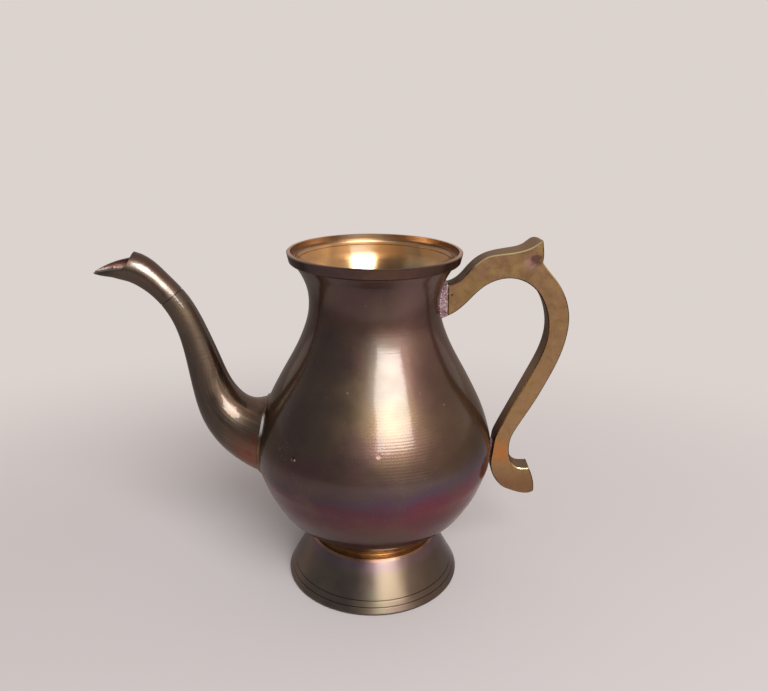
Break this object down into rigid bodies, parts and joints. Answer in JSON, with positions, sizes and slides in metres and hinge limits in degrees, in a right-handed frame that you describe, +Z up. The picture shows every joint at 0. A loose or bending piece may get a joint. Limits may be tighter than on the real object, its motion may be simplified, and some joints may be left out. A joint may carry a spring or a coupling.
{
  "type": "footed brass pouring pot",
  "caption": "Small open-mouthed brass pouring pot with a pear-shaped body, swan-neck spout, flared foot and flat S-shaped handle.",
  "frame": {"origin": "on the axis of the turned parts, at the bottom plane of the foot, where the pot stands", "axes": "+Z up along the turned axis and out of the mouth, +X towards the handle, -X towards the spout, -Y towards the viewer of the picture"},
  "size_m": [0.1707, 0.0894, 0.1346],
  "materials": {
    "body_brass": "dark brown-olive patina, satin, fine lathe lines, heat tint below the widest circle",
    "rim_brass": "turned band with dark patina and a worn pale top edge",
    "foot_brass": "turned satin brass with brown patina",
    "spout_brass": "hand-finished satin brass with brown patina",
    "handle_brass": "cast and filed yellow-brown brass with orange and pinkish stains",
    "braze_metal": "brazing metal, smooth and slightly greyer than the brass",
    "solder_metal": "rough greyish-pink solder, grainy"
  },
  "bodies": {
    "root": {"rim_ring": "rim_brass", "body_upper_shell": "body_brass", "body_lower_bowl": "body_brass", "body_seam_braze": "braze_metal", "foot_skirt": "foot_brass", "foot_braze": "braze_metal", "spout_lower_tube": "spout_brass", "spout_beak": "spout_brass", "spout_root_braze": "braze_metal", "handle": "handle_brass", "handle_neck_braze": "solder_metal", "handle_belly_braze": "solder_metal"}
  },
  "joints": []
}
